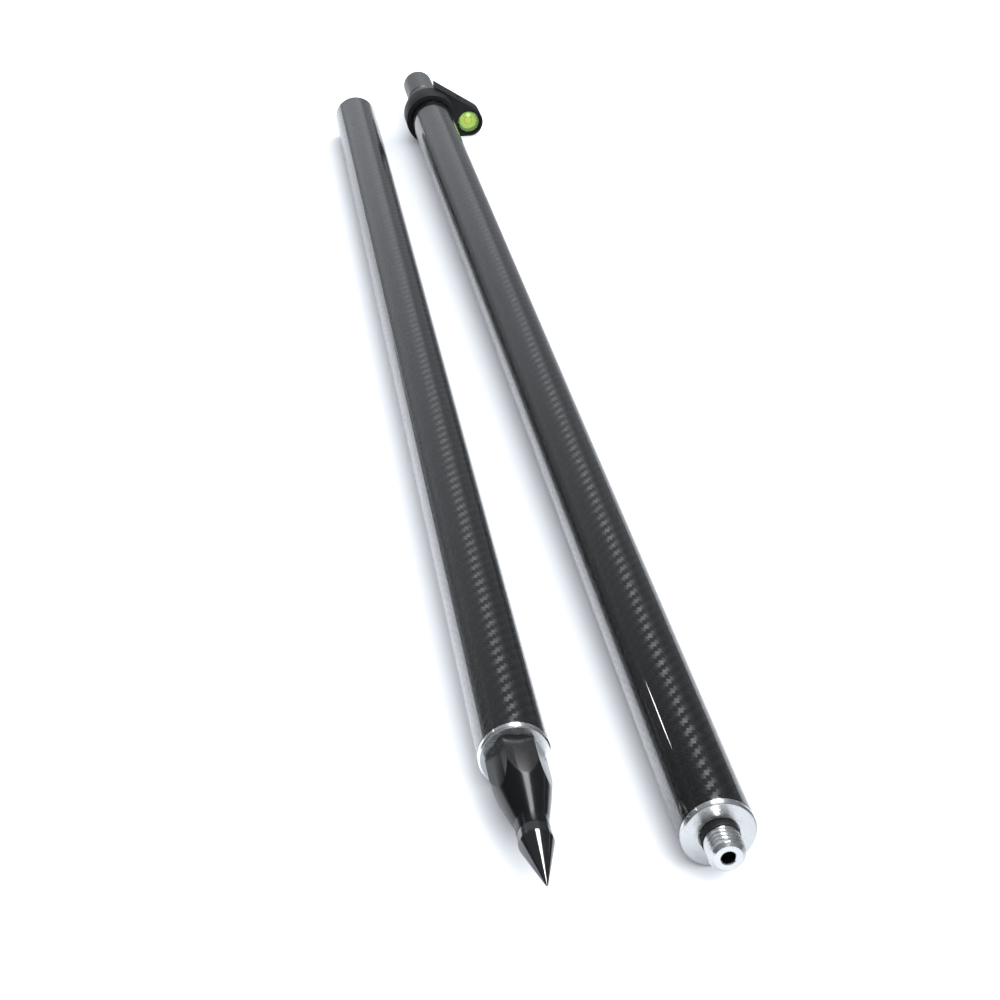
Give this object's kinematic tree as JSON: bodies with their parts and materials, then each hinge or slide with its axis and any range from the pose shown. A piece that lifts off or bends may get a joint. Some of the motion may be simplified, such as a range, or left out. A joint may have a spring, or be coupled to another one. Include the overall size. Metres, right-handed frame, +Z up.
{
  "type": "survey prism pole",
  "caption": "Carbon-fibre survey pole in screw-together sections, with a steel point, a threaded stud and a vial bracket, laid down unscrewed.",
  "frame": {"origin": "on the floor, below the middle of the box around both sections as they lie", "axes": "+Y from the point and the stud towards the ends that screw together, +Z up, +X from the lower section to the upper section and the vial"},
  "size_m": [0.1186, 1.076, 0.0419],
  "materials": {
    "carbon": "woven carbon fibre under a glossy clear coat",
    "bright_aluminium": "bright, turned",
    "grey_anodised": "grey anodised, satin",
    "black_anodised": "black anodised, satin",
    "bracket_black": "black anodised, matt",
    "black_steel": "hardened, polished black",
    "rubber": "matt black",
    "nylon": "natural nylon",
    "screw_steel": "black oxide",
    "vial_clear": "clear acrylic",
    "vial_fluid": "green level fluid",
    "vial_bubble": "bubble",
    "vial_base": "pale reflector"
  },
  "bodies": {
    "lower_section": {"lower_tube": "carbon", "point_ferrule": "bright_aluminium", "joint_socket": "bright_aluminium"},
    "point_seal": {"point_seal_ring": "rubber"},
    "point": {"point_body": "black_anodised", "point_tip": "black_steel"},
    "level_arm": {"level_bracket": "bracket_black", "vial_cushion": "rubber"},
    "grip_pad": {"grip_pad": "nylon"},
    "grip_screw": {"grip_screw": "screw_steel"},
    "vial": {"vial_cup": "black_anodised", "vial_body": "vial_clear", "vial_fluid": "vial_fluid", "vial_base": "vial_base"},
    "bubble": {"vial_bubble": "vial_bubble"},
    "adjust_screw_1": {"adjust_screw_1": "screw_steel"},
    "adjust_screw_2": {"adjust_screw_2": "screw_steel"},
    "adjust_screw_3": {"adjust_screw_3": "screw_steel"},
    "joint_seal": {"joint_seal_ring": "rubber"},
    "upper_section": {"upper_tube": "carbon", "top_ferrule": "bright_aluminium", "top_stud": "bright_aluminium", "top_seal_ring": "rubber", "joint_spigot": "grey_anodised"}
  },
  "joints": [
    {"name": "point_advance", "type": "slide", "parent": "lower_section", "child": "point_seal", "axis": [0, -1, 0], "range_m": [0, 0.02078]},
    {"name": "point_turn", "type": "hinge", "parent": "point_seal", "child": "point", "pos_m": [-0.04333, -0.44946, 0.016], "axis": [0, -1, 0], "range_deg": [0, 3240]},
    {"name": "section_swing", "type": "hinge", "parent": "lower_section", "child": "level_arm", "pos_m": [-0.01416, 0.50845, 0.016], "axis": [-0.0738, -0.0027, 0.9973], "range_deg": [0, 179.12]},
    {"name": "section_slide", "type": "slide", "parent": "level_arm", "child": "joint_seal", "axis": [-0.0157, 0.9999, 0.0042], "range_m": [0, 0.0702]},
    {"name": "section_turn", "type": "hinge", "parent": "joint_seal", "child": "upper_section", "pos_m": [0.03077, -0.51506, 0.016], "axis": [-0.0157, 0.9999, 0.0042], "range_deg": [0, 3240]},
    {"name": "grip_pad_slide", "type": "slide", "parent": "level_arm", "child": "grip_pad", "axis": [0.9396, 0.0133, 0.342], "range_m": [0, 0.0014]},
    {"name": "grip_screw_turn", "type": "hinge", "parent": "grip_pad", "child": "grip_screw", "pos_m": [0.01536, 0.46581, 0.02011], "axis": [0.9396, 0.0133, 0.342], "range_deg": [0, 720]},
    {"name": "vial_tilt", "type": "hinge", "parent": "level_arm", "child": "vial", "pos_m": [0.04763, 0.46831, 0.00887], "axis": [0.9999, 0.0157, 0], "range_deg": [-0.79, 0.79]},
    {"name": "bubble_drift", "type": "slide", "parent": "vial", "child": "bubble", "axis": [-0.0001, 0.0042, -1], "range_m": [0, 0.01]},
    {"name": "adjust_screw_1_turn", "type": "hinge", "parent": "level_arm", "child": "adjust_screw_1", "pos_m": [0.0476, 0.47033, 0.01713], "axis": [-0.0157, 0.9999, 0.0042], "range_deg": [-90, 90]},
    {"name": "adjust_screw_2_turn", "type": "hinge", "parent": "level_arm", "child": "adjust_screw_2", "pos_m": [0.04283, 0.47029, 0.00888], "axis": [-0.0157, 0.9999, 0.0042], "range_deg": [-90, 90]},
    {"name": "adjust_screw_3_turn", "type": "hinge", "parent": "level_arm", "child": "adjust_screw_3", "pos_m": [0.05236, 0.47044, 0.00888], "axis": [-0.0157, 0.9999, 0.0042], "range_deg": [-90, 90]}
  ],
  "couplings": [
    {"joint": "point_turn", "follows": "point_advance", "rad_per_m": 2721.1},
    {"joint": "grip_screw_turn", "follows": "grip_pad_slide", "rad_per_m": 8975.9},
    {"joint": "vial_tilt", "follows": "adjust_screw_1_turn", "ratio": 0.0086812}
  ]
}
